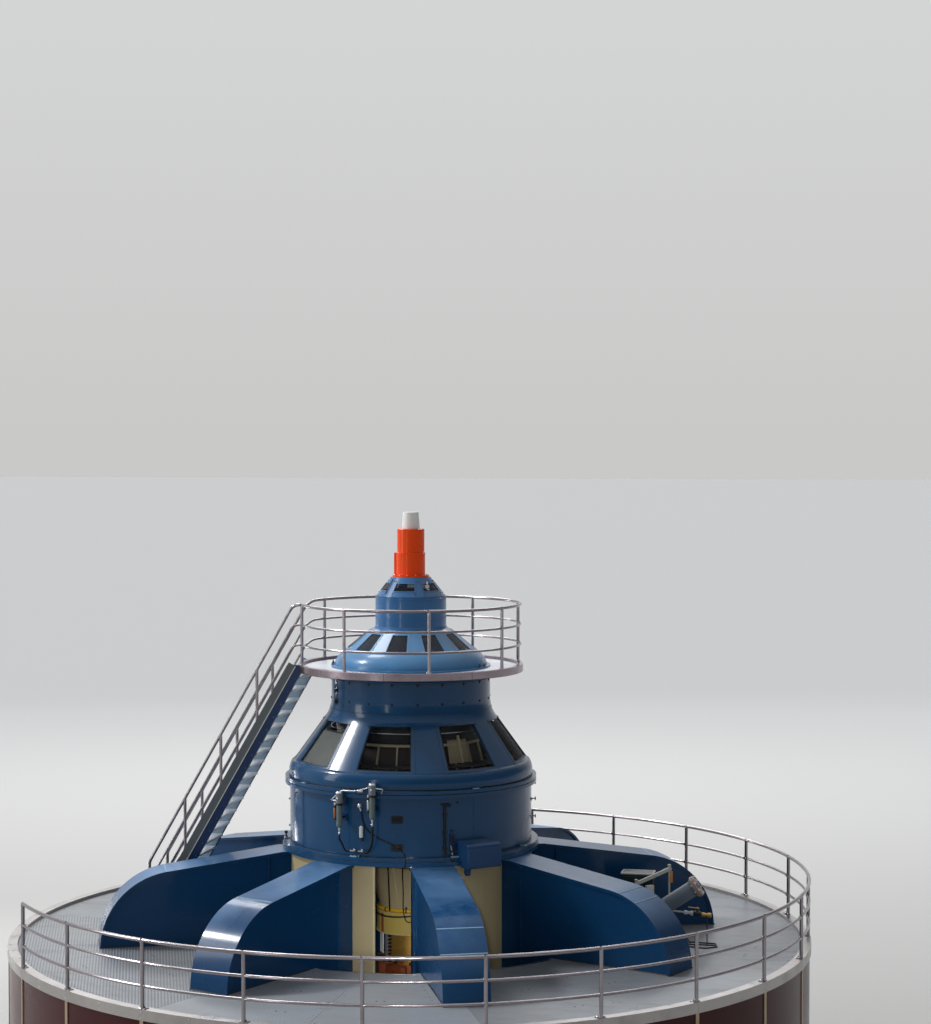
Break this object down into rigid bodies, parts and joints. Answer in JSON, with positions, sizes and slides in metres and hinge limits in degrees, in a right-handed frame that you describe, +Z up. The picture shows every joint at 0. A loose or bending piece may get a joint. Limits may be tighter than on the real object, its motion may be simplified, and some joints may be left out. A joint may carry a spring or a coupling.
{
  "type": "vertical-shaft hydroelectric generator",
  "caption": "Vertical hydroelectric generator: maroon air housing, deck with bracket arms, blue exciter housing, platform with stair, orange shaft cover.",
  "frame": {"origin": "shaft axis where it meets the hall floor", "axes": "+Z up along the shaft; the stair leaves along -X"},
  "size_m": [12.5, 12.5, 10.077],
  "materials": {
    "black_kerb": "matt",
    "maroon_paint": "gloss",
    "batten_metal": "satin",
    "rim_metal": "satin",
    "dark_steel": "satin",
    "deck_paint": "satin",
    "stainless": "satin",
    "blue_paint": "gloss",
    "cream_paint": "satin",
    "yellow_paint": "gloss",
    "brush_copper": "satin",
    "ring_brass": "brushed",
    "bell_paint": "satin",
    "window_glass": "gloss",
    "orange_paint": "gloss",
    "white_plastic": "satin",
    "tread_steel": "satin",
    "grey_fittings": "satin"
  },
  "bodies": {
    "root": {"kerb": "black_kerb", "drum_panels": "maroon_paint", "battens": "batten_metal", "foot_strip": "batten_metal", "rim_band": "rim_metal", "stator_frame": "dark_steel", "well_floor": "dark_steel", "well_edge": "rim_metal", "deck_plates": "deck_paint", "deck_rail_front": "stainless", "deck_rail_right": "stainless", "deck_rail_back": "stainless", "bracket_arm_1": "blue_paint", "bracket_arm_2": "blue_paint", "bracket_arm_3": "blue_paint", "bracket_arm_4": "blue_paint", "bracket_arm_5": "blue_paint", "bracket_arm_6": "blue_paint", "bracket_arm_7": "blue_paint", "bracket_arm_8": "blue_paint", "collar_wall": "cream_paint", "brush_gear": "brush_copper", "collector_rings": "ring_brass", "ring_shroud": "cream_paint", "ring_pipe": "yellow_paint", "shaft_hood": "cream_paint", "foot_flange": "blue_paint", "main_cylinder": "blue_paint", "shoulder_flange": "blue_paint", "window_cone": "blue_paint", "cone_glass": "window_glass", "inner_bell": "bell_paint", "neck": "blue_paint", "platform": "rim_metal", "platform_rail": "stainless", "pilot_base": "blue_paint", "pilot_cone": "blue_paint", "pilot_glass": "window_glass", "pilot_cylinder": "blue_paint", "cap_cone": "blue_paint", "cap_glass": "window_glass", "orange_cover": "orange_paint", "white_marker": "white_plastic", "stair_stringers": "blue_paint", "stair_treads": "tread_steel", "stair_rail_near": "stainless", "stair_rail_far": "stainless", "junction_box": "blue_paint", "air_filters": "grey_fittings", "drain_pipe": "grey_fittings", "control_box": "dark_steel"}
  },
  "joints": []
}
